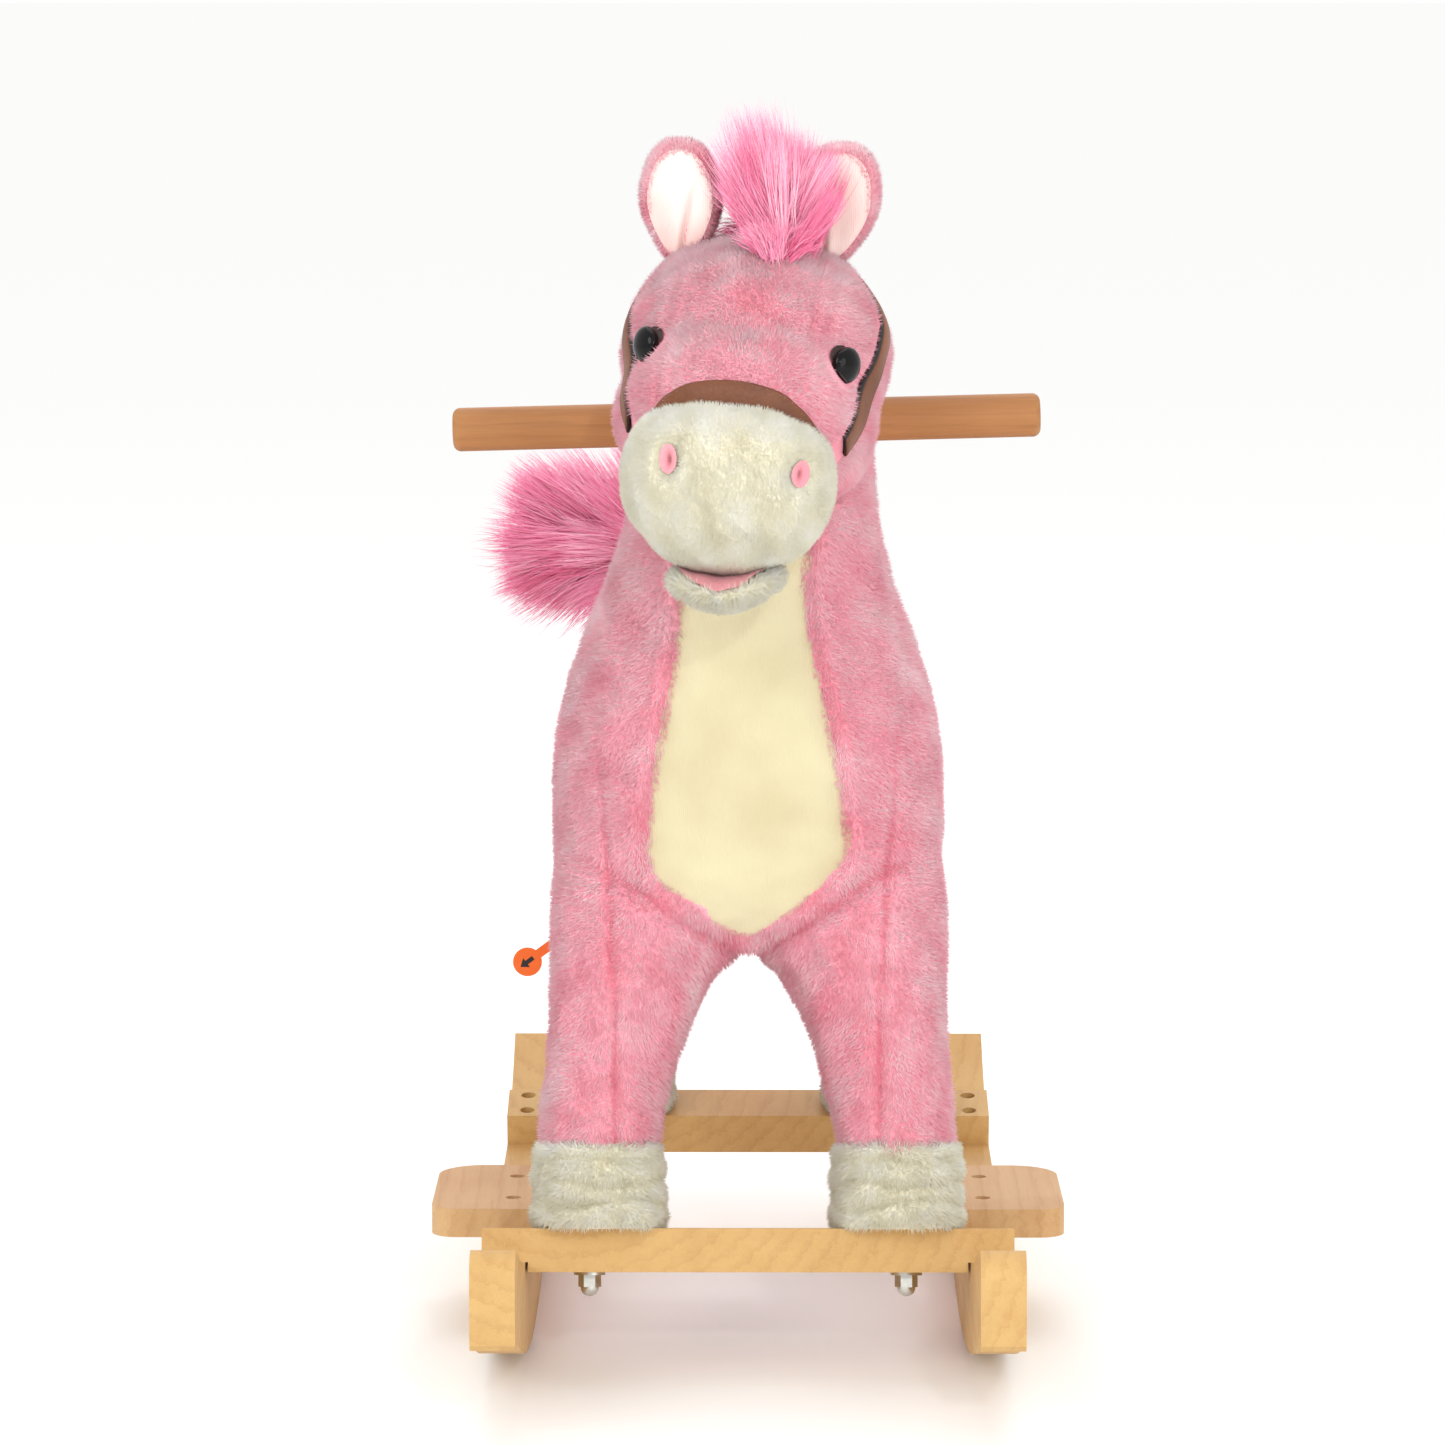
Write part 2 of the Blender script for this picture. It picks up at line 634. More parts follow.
HEAD = (Matrix.Translation((4, -160, 520)) @ Matrix.Rotation(math.radians(-6), 4, "Z")
        @ Matrix.Rotation(math.radians(5.5), 4, "Y"))
PANEL = smooth_line([(-33, 446), (-38, 406), (-40, 378), (-44, 348), (-50, 318), (-54, 288), (-55, 268),
                     (-48, 253), (-29, 238), (-12, 225.5), (0, 222), (10, 225.5), (24, 236), (41, 250),
                     (53, 266), (52.5, 288), (48, 318), (42.6, 348), (36.6, 378), (33, 406), (28, 446)], 4,
                     True)
# each pair's y, the height of its seat's origin, and its tilt
LEGS = {"front": (-146, 60, -12), "rear": (185, 60.5, 12)}
LEG_BOTTOM = 56.0
HOOF_APART = 75.5       # from the middle plane to a hoof's axis
CHEST_FRONT = -80       # the chest panel and its seams lie ahead of this y


def seat_matrix(end):
    along, up, tilt = LEGS[end]
    return Matrix.Translation((0, along, up)) @ Matrix.Rotation(math.radians(tilt), 4, "X")


def leg_form(end, side):
    """One leg in its seat's frame, from just inside the hoof up into the body."""
    levels = [(75.5, 0, LEG_BOTTOM - 6, 24, 24), (75.4, 0, LEG_BOTTOM - 2, 28.5, 28.5),
              (75, 0, LEG_BOTTOM + 4, 29.2, 29.2), (73, 0, LEG_BOTTOM + 24, 30, 31),
              (68.5, 0, LEG_BOTTOM + 50, 32.5, 35), (62.5, 2, LEG_BOTTOM + 77, 37.5, 40.5),
              (57, 4, LEG_BOTTOM + 101, 43, 46.5), (53, 6, LEG_BOTTOM + 133, 46.5, 48),
              (50, 8, LEG_BOTTOM + 160, 44, 43)]
    back = 1 if end == "front" else -1
    return placed(loft([(side * x, back * y, z, hx, hy) for x, y, z, hx, hy in levels]), seat_matrix(end))


def make_body(look, nap_look):
    torso = loft([(0, -84, 214, 48, 34), (0, -82, 222, 74, 54), (0, -82, 238, 92, 70),
                  (0, -78, 262, 97.5, 80),
                  (0, -74, 300, 98, 89), (0, -73, 330, 94, 89), (0, -75, 358, 86.5, 85),
                  (0, -82, 388, 74.5, 76), (1, -93, 414, 66, 66), (2, -102, 440, 61, 60),
                  (2, -110, 480, 57, 56),
                  (3, -112, 520, 54, 54), (4, -114, 556, 44, 44)], power=2.15)
    forms = [torso, blob((0, 62, 303), (97, 170, 88)), blob((0, 142, 312), (90, 90, 86)),
             blob((0, -2, 272), (93, 100, 57), power=2.3), blob((0, 90, 268), (88, 90, 52), power=2.3)]
    for end in LEGS:
        forms += [leg_form(end, side) for side in (-1, 1)]
    body = melted("body_plush", forms, 6.0, 9, look, "horse")
    points = coords(body)

    def front(p):
        return np.where(p[:, 1] < CHEST_FRONT, 1.0, 0.0)

    hit, gap = inside(points[:, [0, 2]], PANEL)
    hollow = np.where(hit, np.clip(gap / 5, 0, 1), 0) * front(points)
    seams = np.zeros(len(points))
    depth = -3.2 * hollow
    lip = np.exp(-(gap / 6.5) ** 2) * front(points) * ~hit
    depth += 1.6 * lip
    lines = []
    for side in (-1, 1):
        lines.append([(side * 66, z) for z in (100, 180)] + [(side * 69, 240), (side * 76, 330)])
    for line in lines:
        off = line_gap(points[:, [0, 2]], line)
        fade = np.clip((345 - points[:, 2]) / 60, 0, 1) * front(points) * np.where(hit, 0, 1)
        depth -= 1.7 * np.exp(-(off / 2.6) ** 2) * fade
        seams += 0.55 * np.exp(-(off / 1.6) ** 2) * fade
    for side in (-1, 1):
        fold = smooth_line([(side * 2, 214), (side * 20, 226), (side * 42, 243), (side * 62, 256),
                            (side * 84, 262)], 6)
        off = line_gap(points[:, [0, 2]], fold)
        fade = front(points) * np.clip((96 - np.abs(points[:, 0])) / 30, 0, 1)
        depth -= 3.4 * np.exp(-(off / 5.0) ** 2) * fade
        depth += 1.6 * np.exp(-((off - 10) / 6) ** 2) * fade * (points[:, 2] < 250)
        seams += 0.35 * np.exp(-(off / 3.0) ** 2) * fade
        for level, reach, strong in ((206, 46, 0.9), (182, 34, 0.8), (150, 30, 0.7), (136, 40, 0.8)):
            crease = [(side * 40, level), (side * (40 + reach * 0.6), level + 5),
                      (side * (50 + reach), level - 4)]
            off = line_gap(points[:, [0, 2]], smooth_line(crease, 5))
            depth -= strong * np.exp(-(off / 3.4) ** 2) * front(points)
    spine = np.abs(points[:, 0]) + np.where(points[:, 2] > 330, 0, 99)
    groove = np.exp(-(spine / 2.4) ** 2) * (points[:, 1] > -40)
    depth -= 1.6 * groove
    seams += 0.5 * groove
    belly = np.exp(-(np.abs(points[:, 0]) / 2.4) ** 2) * (points[:, 1] > -20) * (points[:, 2] < 250)
    depth -= 1.4 * belly
    seams += 0.5 * belly
    depth += 0.9 * lumps(points, 46, 3) + 0.35 * lumps(points, 15, 4)
    push(body, depth)
    mark(body, seams)
    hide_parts("barrel_plush", "neck_plush", "front_leg_right", "front_leg_left", "rear_leg_right",
                "rear_leg_left")

    def grows(p):
        in_panel, edge = inside(p[:, [0, 2]], PANEL)
        under_panel = in_panel & (edge > 6.5) & (p[:, 1] < CHEST_FRONT)
        hidden = (np.linalg.norm((p - (4, -165, 520)) / (58, 70, 52), axis=1) < 1)
        saddle = (p[:, 1] > -10) & (p[:, 1] < 120) & (p[:, 2] > 348)
        strap = (np.abs(p[:, 1] - 75) < 11) & (p[:, 2] < 348)
        return ~(under_panel | hidden | saddle | strap)

    def flow(p):
        down = np.zeros_like(p)
        down[:, 2] = -1
        down[:, 1] = np.where(p[:, 1] > -60, 0.8, 0.05)
        return down

    parts = (("chest", lambda p: grows(p) & (p[:, 1] < -70) & (p[:, 2] > 240), 64000),
             ("front_legs", lambda p: grows(p) & (p[:, 1] < -40) & (p[:, 2] <= 240), 64000),
             ("back", lambda p: grows(p) & (p[:, 1] >= -70) & ((p[:, 2] > 240) | (p[:, 1] >= -40)), 66000))
    for name, keep, count in parts:
        nap = pile("body_pile_" + name, body, count, 4.6, 0.85, nap_look, "horse", flow, keep,
                   seed=len(name))
    return body


def make_panel(body_skin, look):
    """The smooth chest panel, tucked under the plush at its edge."""
    xs, zs = np.arange(-60, 60.1, 2.0), np.arange(218, 448.1, 2.0)
    gx, gz = np.meshgrid(xs, zs)
    flat = np.stack([gx.ravel(), gz.ravel()], 1)
    hit, gap = inside(flat, PANEL)
    wanted = hit | (gap < 4)
    number = -np.ones(len(flat), int)
    verts, edge = [], []
    for i in np.nonzero(wanted)[0]:
        spot = body_skin.ray_cast(Vector((flat[i, 0], -260, flat[i, 1])), Vector((0, 1, 0)), 200)[0]
        if spot is None:
            continue
        number[i] = len(verts)
        reach = gap[i] * (1 if hit[i] else -1)
        rise = -1.6 + 3.6 * np.clip(reach / 14, 0, 1) ** 0.7
        verts.append((spot.x, spot.y - rise, spot.z))
        edge.append(reach)
    verts, edge = np.array(verts), np.array(edge)
    verts[:, 1] += 0.5 * lumps(verts, 40, 8) + 0.22 * lumps(verts, 13, 9)
    grid = number.reshape(gx.shape)
    faces = []
    for r in range(grid.shape[0] - 1):
        for c in range(grid.shape[1] - 1):
            q = (grid[r, c], grid[r, c + 1], grid[r + 1, c + 1], grid[r + 1, c])
            if min(q) >= 0:
                faces.append(q)
    panel = build("chest_velour", verts, faces, look, None)
    thick = panel.modifiers.new("thick", "SOLIDIFY")
    thick.thickness, thick.offset = 1.5 * MM, -1
    soft = panel.modifiers.new("soft", "SMOOTH")
    soft.factor, soft.iterations = 0.5, 3
    settle(panel)
    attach(panel, "horse")
    points = coords(panel)
    hit, gap = inside(points[:, [0, 2]], PANEL)
    mark(panel, np.exp(-(gap / 3.0) ** 2) * 0.9)
    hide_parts("chest_panel")
    return panel


def make_hooves(look, nap_look):
    for end, node_name in (("front", "front_hooves"), ("rear", "rear_hooves")):
        for side_name, side in (("right", -1), ("left", 1)):
            levels = [(0, 0, 16.9, 26, 26), (0, 0, 17.2, 30, 30), (0, 0, 20, 31.6, 31.8),
                      (0, 0, 26, 32.2, 32.4),
                      (0, 0, 33, 31.2, 31.4), (0, 0, 41, 31.5, 31.8), (0, 0, 49, 30.6, 30.8),
                      (0, 0, 55, 30.3, 30.4),
                      (0, 0, 58.5, 29, 29), (0, 0, 60, 22, 22)]
            form = loft([(side * HOOF_APART, y, z, hx, hy) for _, y, z, hx, hy in levels], 64, 2.1)
            matrix = seat_matrix(end)
            hoof = melted("hoof_%s_%s" % (end, side_name), [placed(form, matrix)], 3.0, 3, look, "horse", 0)
            local = (coords(hoof) - np.array(matrix.translation)) @ np.array(matrix.to_3x3())
            crease = np.zeros(len(local))
            for level, deep in ((30, 1.2), (40, 1.5), (52, 1.0)):
                wave = level + 2.2 * np.sin(np.arctan2(local[:, 1],
                                                       local[:, 0] - side * HOOF_APART) * 3 + level)
                crease -= deep * np.exp(-((local[:, 2] - wave) / 2.2) ** 2)
            push(hoof, (crease + 0.8 * lumps(local, 20, 5)) * np.clip((local[:, 2] - 19) / 6, 0, 1))
            mark(hoof, -crease * 0.35)
            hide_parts(node_name)
            up = np.array(matrix.to_3x3())[:, 2]
            centre = np.array(matrix @ Vector((side * HOOF_APART, 0, 0)))

            def flow(p, up=up):
                return np.tile(-up, (len(p), 1))

            def keep(p, up=up, centre=centre):
                level = (p - centre) @ up
                return (level > 18.5) & (level < 58.5)

            nap = pile("hoof_pile_%s_%s" % (end, side_name), hoof, 18000, 5.0, 0.8, nap_look, "horse", flow,
                       keep, 0.5, seed=5 + side, patch=12)


# ---------------------------------------------------------------- head

def local_points(points, matrix):
    m = np.array(matrix)
    return (points - m[:3, 3]) @ m[:3, :3]


def make_head(look, nap_look):
    forms = [blob((0, 0, 0), (63.5, 71, 57), power=2.15), blob((0, -45, -22), (56.5, 54, 46), power=2.1),
             blob((-24, -26, -34), (39, 42, 33)), blob((24, -26, -34), (39, 42, 33))]
    head = melted("head_plush_form", [placed(f, HEAD) for f in forms], 4.5, 6, look, "horse")
    points = coords(head)
    local = local_points(points, HEAD)
    depth, seams = 0.6 * lumps(points, 34, 12) + 0.3 * lumps(points, 12, 13), np.zeros(len(points))
    for side in (-1, 1):
        line = smooth_line([(side * 27, 70), (side * 33, 40), (side * 35, 12), (side * 33, -14),
                            (side * 30, -34)], 6)
        off = line_gap(local[:, [0, 2]], line)
        fade = (local[:, 1] < -5) * 1.0
        depth -= 1.0 * np.exp(-((off - 4) / 2.6) ** 2) * fade
        seams -= 0.5 * np.exp(-(off / 2.2) ** 2) * fade
        socket = np.linalg.norm(local - (side * 50, -56, 4), axis=1)
        depth -= 2.6 * np.exp(-(socket / 13) ** 2)
    push(head, depth)
    mark(head, seams)
    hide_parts("head_plush")

    def keep(p):
        q = local_points(p, HEAD)
        eye = np.minimum(*[np.linalg.norm((q - (s * 50, -56, 4)) / (16.0, 16.0, 12.0), axis=1) for s in (-1,
                                                                                                         1)])
        muzzle = np.linalg.norm((q - (0, -82, -55)) / (50, 47, 39), axis=1)
        inner = np.linalg.norm((p - (2, -108, 470)) / (50, 48, 60), axis=1)
        nose = np.abs((q - (0, -95, -4)) @ strap_normal(NOSE_TILT) - NOSE_MIDDLE) < 6
        nose &= q[:, 1] < -20
        cheek = np.abs((q - CHEEK_POINT) @ strap_normal(CHEEK_TILT)) < 9.5
        return (eye > 1) & (muzzle > 1) & (inner > 1) & ~nose & ~cheek

    def flow(p):
        q = local_points(p, HEAD)
        way = np.stack([q[:, 0] * 0.010, np.where(q[:, 2] > 10, -0.5, 0.2), np.full(len(q), -1.0)], 1)
        return way @ np.array(HEAD.to_3x3()).T

    nap = pile("head_pile", head, 62000, 4.2, 0.72, nap_look, "horse", flow, keep, 0.5, seed=31, patch=24)
    return head


def strap_normal(tilt):
    """The way a strap's plane faces in HEAD's frame, tipped about X."""
    return np.array(Matrix.Rotation(math.radians(tilt), 3, "X") @ Vector((0, 1, 0)))


NOSE_TILT, NOSE_MIDDLE = 32, -8.5
CHEEK_TILT, CHEEK_POINT = -48, (0, -78, -48)


def make_muzzle(look, nap_look):
    forms = [blob((0, -82, -54), (50, 46, 37.5), power=2.5), blob((0, -92, -45), (44, 37, 28), power=2.3),
             blob((0, -76, -70), (43, 36, 28.5), power=2.2)]
    muzzle = melted("muzzle_plush_form", [placed(f, HEAD) for f in forms], 3.5, 6, look, "horse")
    points = coords(muzzle)
    local = local_points(points, HEAD)
    depth = 0.6 * lumps(points, 26, 14) + 0.3 * lumps(points, 9, 15)
    for x, z in NOSTRILS:
        off = np.linalg.norm((local[:, [0, 2]] - (x, z)) / (1, 1.5), axis=1)
        depth -= 3.2 * np.exp(-(off / 5.5) ** 2) * (local[:, 1] < -90)
        depth += 0.9 * np.exp(-((off - 9) / 4) ** 2) * (local[:, 1] < -90)
    push(muzzle, depth)
    mark(muzzle, np.zeros(len(points)))
    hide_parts("muzzle_plush")

    def keep(p):
        q = local_points(p, HEAD)
        open_ = np.ones(len(q), bool)
        for x, z in NOSTRILS:
            open_ &= ~((np.linalg.norm((q[:, [0, 2]] - (x, z)) / (3.6, 5.8), axis=1) < 1) & (q[:, 1] < -90))
        behind = np.linalg.norm((q - (0, -36, -22)) / (52, 50, 44), axis=1)
        return open_ & (behind > 1)

    def flow(p):
        q = local_points(p, HEAD)
        way = np.stack([q[:, 0] * 0.012, np.full(len(q), 0.25), (q[:, 2] + 45) * 0.02 - 0.55], 1)
        return way @ np.array(HEAD.to_3x3()).T

    nap = pile("muzzle_pile", muzzle, 60000, 3.2, 0.62, nap_look, "horse", flow, keep, 0.55, seed=41,
               patch=16)
    return muzzle


NOSTRILS = ((-24.5, -43.5), (36.0, -45.0))


def make_nostrils(muzzle_skin, look):
    """Pink oval pads set into the muzzle, each with a darker slit."""
    for name, (x, z), half, slit in (("right", NOSTRILS[0], (5.4, 7.6), (1.2, 3.2)),
                                     ("left", NOSTRILS[1], (4.4, 6.8), (0.9, 2.2))):
        verts, faces, ring = [], [], 28
        for r in range(7):
            share = r / 6
            for k in range(ring):
                turn = 2 * math.pi * k / ring
                verts.append((x + half[0] * share * math.cos(turn), 0.0,
                              z + half[1] * share * math.sin(turn)))
        for r in range(6):
            for k in range(ring):
                j = (k + 1) % ring
                faces.append((r * ring + k, r * ring + j, (r + 1) * ring + j, (r + 1) * ring + k))
        out = []
        for vx, _, vz in verts:
            start = HEAD @ Vector((vx, -190, vz))
            spot, normal, _, _ = muzzle_skin.ray_cast(start, HEAD.to_3x3() @ Vector((0, 1, 0)), 200)
            share = min(1.0, math.hypot((vx - x) / half[0], (vz - z) / half[1]))
            hole = math.hypot((vx - x) / slit[0], (vz - z) / slit[1]) / 2
            rim, dip = 1.4 * share ** 2 * (1.3 - share), 0.6 * math.exp(-hole * hole * 4)
            out.append(spot + normal * (1.9 + rim - dip))
        pad = build("nostril_" + name, [tuple(v) for v in out], faces, look, "horse")
        near = [math.exp(-(math.hypot((v[0] - x) / slit[0],
                                      (v[2] - z) / slit[1])) ** 2 * 0.5) for v in verts]
        mark(pad, np.array(near))


def make_eyes(head_skin, look):
    """Dark almond backings behind the glossy domes, pointed at both corners."""
    verts, faces = [], []
    for side in (-1, 1):
        turn = Matrix.Rotation(math.radians(side * 38), 3, "Z")
        centre, ring, base = Vector((side * 49, -54, 4)), 48, len(verts)
        for row in range(5):
            share = row / 4
            for k in range(ring):
                angle = 2 * math.pi * k / ring
                c, s = math.cos(angle), math.sin(angle)
                reach_x = 9.0 + 0.5 * abs(c) ** 6
                reach_z = 8.8
                flat = Vector((reach_x * c * share, 0,
                               reach_z * s * share - 0.12 * reach_x * c * share * side))
                start = HEAD @ (centre + turn @ (flat + Vector((0, -30, 0))))
                way = HEAD.to_3x3() @ (turn @ Vector((0, 1, 0)))
                hit, normal, _, _ = head_skin.ray_cast(start, way, 60)
                verts.append(tuple(hit + normal * (3.4 - 2.0 * share ** 4)))
        faces += [tuple(i + base for i in f) for f in grid_faces(5, ring, True)]
    rims = build("eye_backings", verts, faces, look, "horse")


# each ear's middle x and z, half height and half width
EAR = {-1: (-43.0, 71.0, 31.0, 18.0), 1: (29.0, 77.0, 31.0, 19.0)}


def ear_lean(side, up):
    """How far the ear's middle moves outward with height."""
    return 0.14 * side * (up + 1) * 16


def ear_share(side, x, z):
    """Where a point of HEAD's frame is in the ear: across and up, each about -1 to 1."""
    middle_x, middle_z, tall, wide = EAR[side]
    up = (z - middle_z) / tall
    return (x - middle_x - ear_lean(side, up)) / wide, up


def ear_surface(side, across, up, front):
    """A point of the ear in HEAD's frame. across and up run from -1 to 1; front is 0 or 1."""
    tall, wide = EAR[side][2:]
    width = wide * (1.04 + 0.20 * max(0, up) ** 2 - 0.42 * max(0, -up) ** 1.3)
    x = EAR[side][0] + across * width + ear_lean(side, up)
    z = EAR[side][1] + up * tall
    rim = min(1.0, math.hypot(across, up))
    cup = 5.5 * (1 - min(1, across ** 2 * 1.05)) * (1 - 0.35 * up)
    back = (19 + 2.0 * across ** 2) * (1 - 0.25 * up)
    if front > 0.5:
        y = 2 - 4.0 * (1 - rim ** 4) + cup
    else:
        y = 2 + back * (1 - rim ** 4) ** 0.5
    return x, y, z


def make_ears(look, lining_look, nap_look):
    """Cupped ears: a plush back and rim, and a cream lining with a fold low inside."""
    turns, rows = 40, 12
    linings_v, linings_f = [], []
    for name, side in (("right", -1), ("left", 1)):
        verts, faces = [], []
        for front in (1, 0):
            base = len(verts)
            for r in range(rows + 1):
                share = r / rows
                for k in range(turns):
                    a = 2 * math.pi * k / turns
                    verts.append(ear_surface(side, share * math.cos(a), share * math.sin(a), front))
            ring = grid_faces(rows + 1, turns, True)
            faces += [tuple((i + base) for i in (f if front else f[::-1])) for f in ring]
        ear = build("ear_plush_" + name, verts, faces, look, None)
        points = local_to_world(coords(ear))
        set_coords(ear, points)
        join = ear.modifiers.new("join", "REMESH")
        join.mode, join.voxel_size, join.use_smooth_shade = "VOXEL", 2.0 * MM, True
        soft = ear.modifiers.new("soft", "SMOOTH")
        soft.factor, soft.iterations = 0.5, 5
        settle(ear)
        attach(ear, "horse")
        mark(ear, np.zeros(len(ear.data.vertices)))
        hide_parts("ear_" + name)

        base = len(linings_v)
        for r in range(rows + 1):
            share = 0.88 * r / rows
            for k in range(turns):
                a = 2 * math.pi * k / turns
                across, up = share * math.cos(a), share * math.sin(a) - 0.04
                x, y, z = ear_surface(side, across, up, 1)
                fold = math.exp(-((across * side + 0.30 + up * 0.25) / 0.09) ** 2) * max(0, 0.35 - up)
                bulge = math.exp(-((across * side + 0.08 + up * 0.1) / 0.22) ** 2) * max(0, 0.5 - up)
                linings_v.append((x, y - 1.7 + 3.6 * fold - 1.6 * bulge + 1.4 * share ** 6, z))
        linings_f += [tuple(i + base for i in f) for f in grid_faces(rows + 1, turns, True)]

        def keep(p, side=side):
            q = local_points(p, HEAD)
            across, up = ear_share(side, q[:, 0], q[:, 2])
            inner = (np.hypot(across, up + 0.04) < 0.80) & (q[:, 1] < 6)
            return ~inner & (np.linalg.norm(q / (60, 68, 54), axis=1) > 1)

        def flow(p, side=side):
            q = local_points(p, HEAD) - (EAR[side][0], 6, 62)
            return unit(q) @ np.array(HEAD.to_3x3()).T

        nap = pile("ear_pile_" + name, ear, 13000, 3.9, 0.8, nap_look, "horse", flow, keep, 0.5,
                   seed=61 + side,
                   patch=14)
    lining = build("ear_lining_velour", local_to_world(np.array(linings_v)), linings_f, lining_look, "horse")
    creases = []
    for x, y, z in linings_v:
        side = 1 if x > 0 else -1
        across, up = ear_share(side, x, z)
        fold = math.exp(-((across * side + 0.30 + up * 0.25) / 0.10) ** 2)
        hem = min(1, math.hypot(across, up + 0.04) / 0.83) ** 6
        creases.append(0.9 * fold * max(0, 0.45 - up) ** 0.7 + 0.35 * hem)
    mark(lining, np.array(creases))
    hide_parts("ear_linings")


def local_to_world(points):
    m = np.array(HEAD)
    return points @ m[:3, :3].T + m[:3, 3]


def make_jaw(look, felt, nap_look):
    """The lower jaw: a small cream cushion that carries the pink felt of the mouth on top."""
    place = HEAD @ Matrix.Translation((3.5, -77, -105)) @ Matrix.Rotation(math.radians(-8), 4, "Y")
    points, faces = blob((0, 0, -3.5), (26.5, 27, 6.2), power=2.2)
    points[:, 2] += 7.5 * np.abs(points[:, 0] / 27) ** 1.5
    forms = [placed((points, faces), place), placed(blob((-1, 26, 3), (22, 25, 8)), place)]
    jaw = melted("jaw_cushion", forms, 2.0, 3, look, "jaw", 0)
    mark(jaw, np.zeros(len(jaw.data.vertices)))
    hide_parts("jaw_plush")

    def keep(p):
        q = local_points(p, place)
        return (np.hypot(q[:, 0] / 23.5, (q[:, 1] + 2.5) / 24.5) > 0.94) | (q[:, 2] < -4)

    def flow(p):
        q = local_points(p, place)
        return np.stack([q[:, 0] * 0.03, np.full(len(q), -0.5), np.full(len(q), -0.35)], 1) @ np.array(
            place.to_3x3()).T

    nap = pile("jaw_pile", jaw, 16000, 5.6, 0.7, nap_look, "jaw", flow, keep, 0.45, seed=71, patch=10)
    verts, faces, rings, turns = [], [], 10, 48
    for r in range(rings):
        share = r / (rings - 1)
        for k in range(turns):
            a = 2 * math.pi * k / turns
            x, y = 23.5 * share * math.cos(a), -2.5 + 24.5 * share * math.sin(a)
            z = 4.2 + 7.5 * abs(x / 27) ** 1.5 - 5.0 * max(0.0,
                                                           -y / 27) ** 3 + 0.5 * math.sin(x * 0.5) * share
            verts.append((x, y, z))
    lining = build("mouth_felt_pad", placed((np.array(verts), None), place)[0],
                   grid_faces(rings, turns, True),
                   felt, "jaw")
    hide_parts("mouth_lining")


# ---------------------------------------------------------------- long hair

def locks(root, aim, length, steps, rng, curl=0.18, droop=0.0, clump=None, clump_pull=0.45):
    """Curved hair lines from roots: aim is the first direction, and clumps pull their tips together."""
    count = len(root)
    side = unit(np.cross(aim, rng.normal(size=(count, 3))))
    size = length[:, None] if np.ndim(length) else np.full((count, 1), length)
    t = np.linspace(0, 1, steps)[None, :, None]
    bend = curl * rng.normal(size=(count, 1, 1))
    wave = rng.uniform(0, 6.28, (count, 1, 1))
    lines = root[:, None, :] + aim[:, None, :] * size[:, None, :] * t
    lines = lines + side[:, None, :] * size[:, None, :] * (bend * t ** 2 + 0.02 * np.sin(wave + 7 * t) * t)
    lines[:, :, 2] -= droop * size * t[:, :, 0] ** 2
    if clump is not None:
        centres = np.zeros((clump.max() + 1, steps, 3))
        number = np.bincount(clump, minlength=len(centres))[:, None, None]
        np.add.at(centres, clump, lines)
        centres /= np.maximum(number, 1)
        lines = lines * (1 - clump_pull * t ** 1.3) + centres[clump] * clump_pull * t ** 1.3
    return lines


def hair_tones(lines, clump, look, rng):
    tone = (len(look) - 1) / 2 + rng.normal(size=len(lines)) * 0.8
    return np.round(tone + rng.normal(size=clump.max() + 1)[clump] * 0.8).astype(int)


def make_forelock(look):
    """A tuft that fans up and out from a root between the ears."""
    rng = np.random.default_rng(81)
    count = 9000
    clumps = 120
    clump = rng.integers(0, clumps, count)
    # each clump: where it starts, which way it points in the front plane, and how long it is
    fan = rng.uniform(-1, 1, clumps)
    angle = np.radians(np.where(fan < 0, 104 + 30 * np.abs(fan) ** 0.9, 104 - 46 * np.abs(fan) ** 0.9))
    tall = np.interp(np.degrees(angle), (56, 66, 80, 97, 110, 122, 136), (54, 60, 60, 72, 84, 70, 50))
    tall = tall * rng.uniform(0.55, 1.08, clumps)
    depth = rng.uniform(-0.25, 0.55, clumps)
    start = np.stack([9 + rng.normal(size=clumps) * 4.5,
                      -32 + rng.uniform(0, 46, clumps), np.zeros(clumps)], 1)
    start[:, 2] = 57 * np.sqrt(np.maximum(0.05, 1 - (start[:, 0] / 63) ** 2 - (start[:, 1] / 71) ** 2)) - 1
    aim = unit(np.stack([np.cos(angle), depth, np.sin(angle)], 1))
    root = start[clump] + rng.normal(size=(count, 3)) * (2.2, 2.2, 0.4)
    way = unit(aim[clump] + rng.normal(size=(count, 3)) * 0.13)
    lines = locks(root, way, tall[clump] * rng.uniform(0.75, 1.08, count), 7, rng, 0.16, 0.03, clump, 0.55)
    extra = rng.integers(0, 24, count // 5)
    low = rng.uniform(0, 2 * math.pi, 24)
    low_root = np.stack([9 + 5 * np.cos(low), -34 + 5 * np.sin(low), np.full(24, 52.0)], 1)
    low_aim = unit(np.stack([np.cos(low) * 0.7, -0.5 + 0.2 * np.sin(low), 0.9 + 0.6 * np.abs(np.sin(low))],
                            1))
    more = locks(low_root[extra] + rng.normal(size=(len(extra), 3)) * 2, unit(low_aim[extra] + rng.normal(
        size=(len(extra), 3)) * 0.18), rng.uniform(16, 30, len(extra)), 7, rng, 0.15, 0.25, extra, 0.3)
    lines = np.concatenate([lines, more])
    clump = np.concatenate([clump, extra])
    lines = local_to_world(lines.reshape(-1, 3)).reshape(lines.shape)
    width = 0.5
    outward = unit(lines[:, 3] - local_to_world(np.array([[9, 20, 40.0]])))
    piece = strands("forelock_hair", lines, width, look, "horse", hair_tones(lines, clump, look, rng),
                    outward, 0.35)
    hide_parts("forelock")


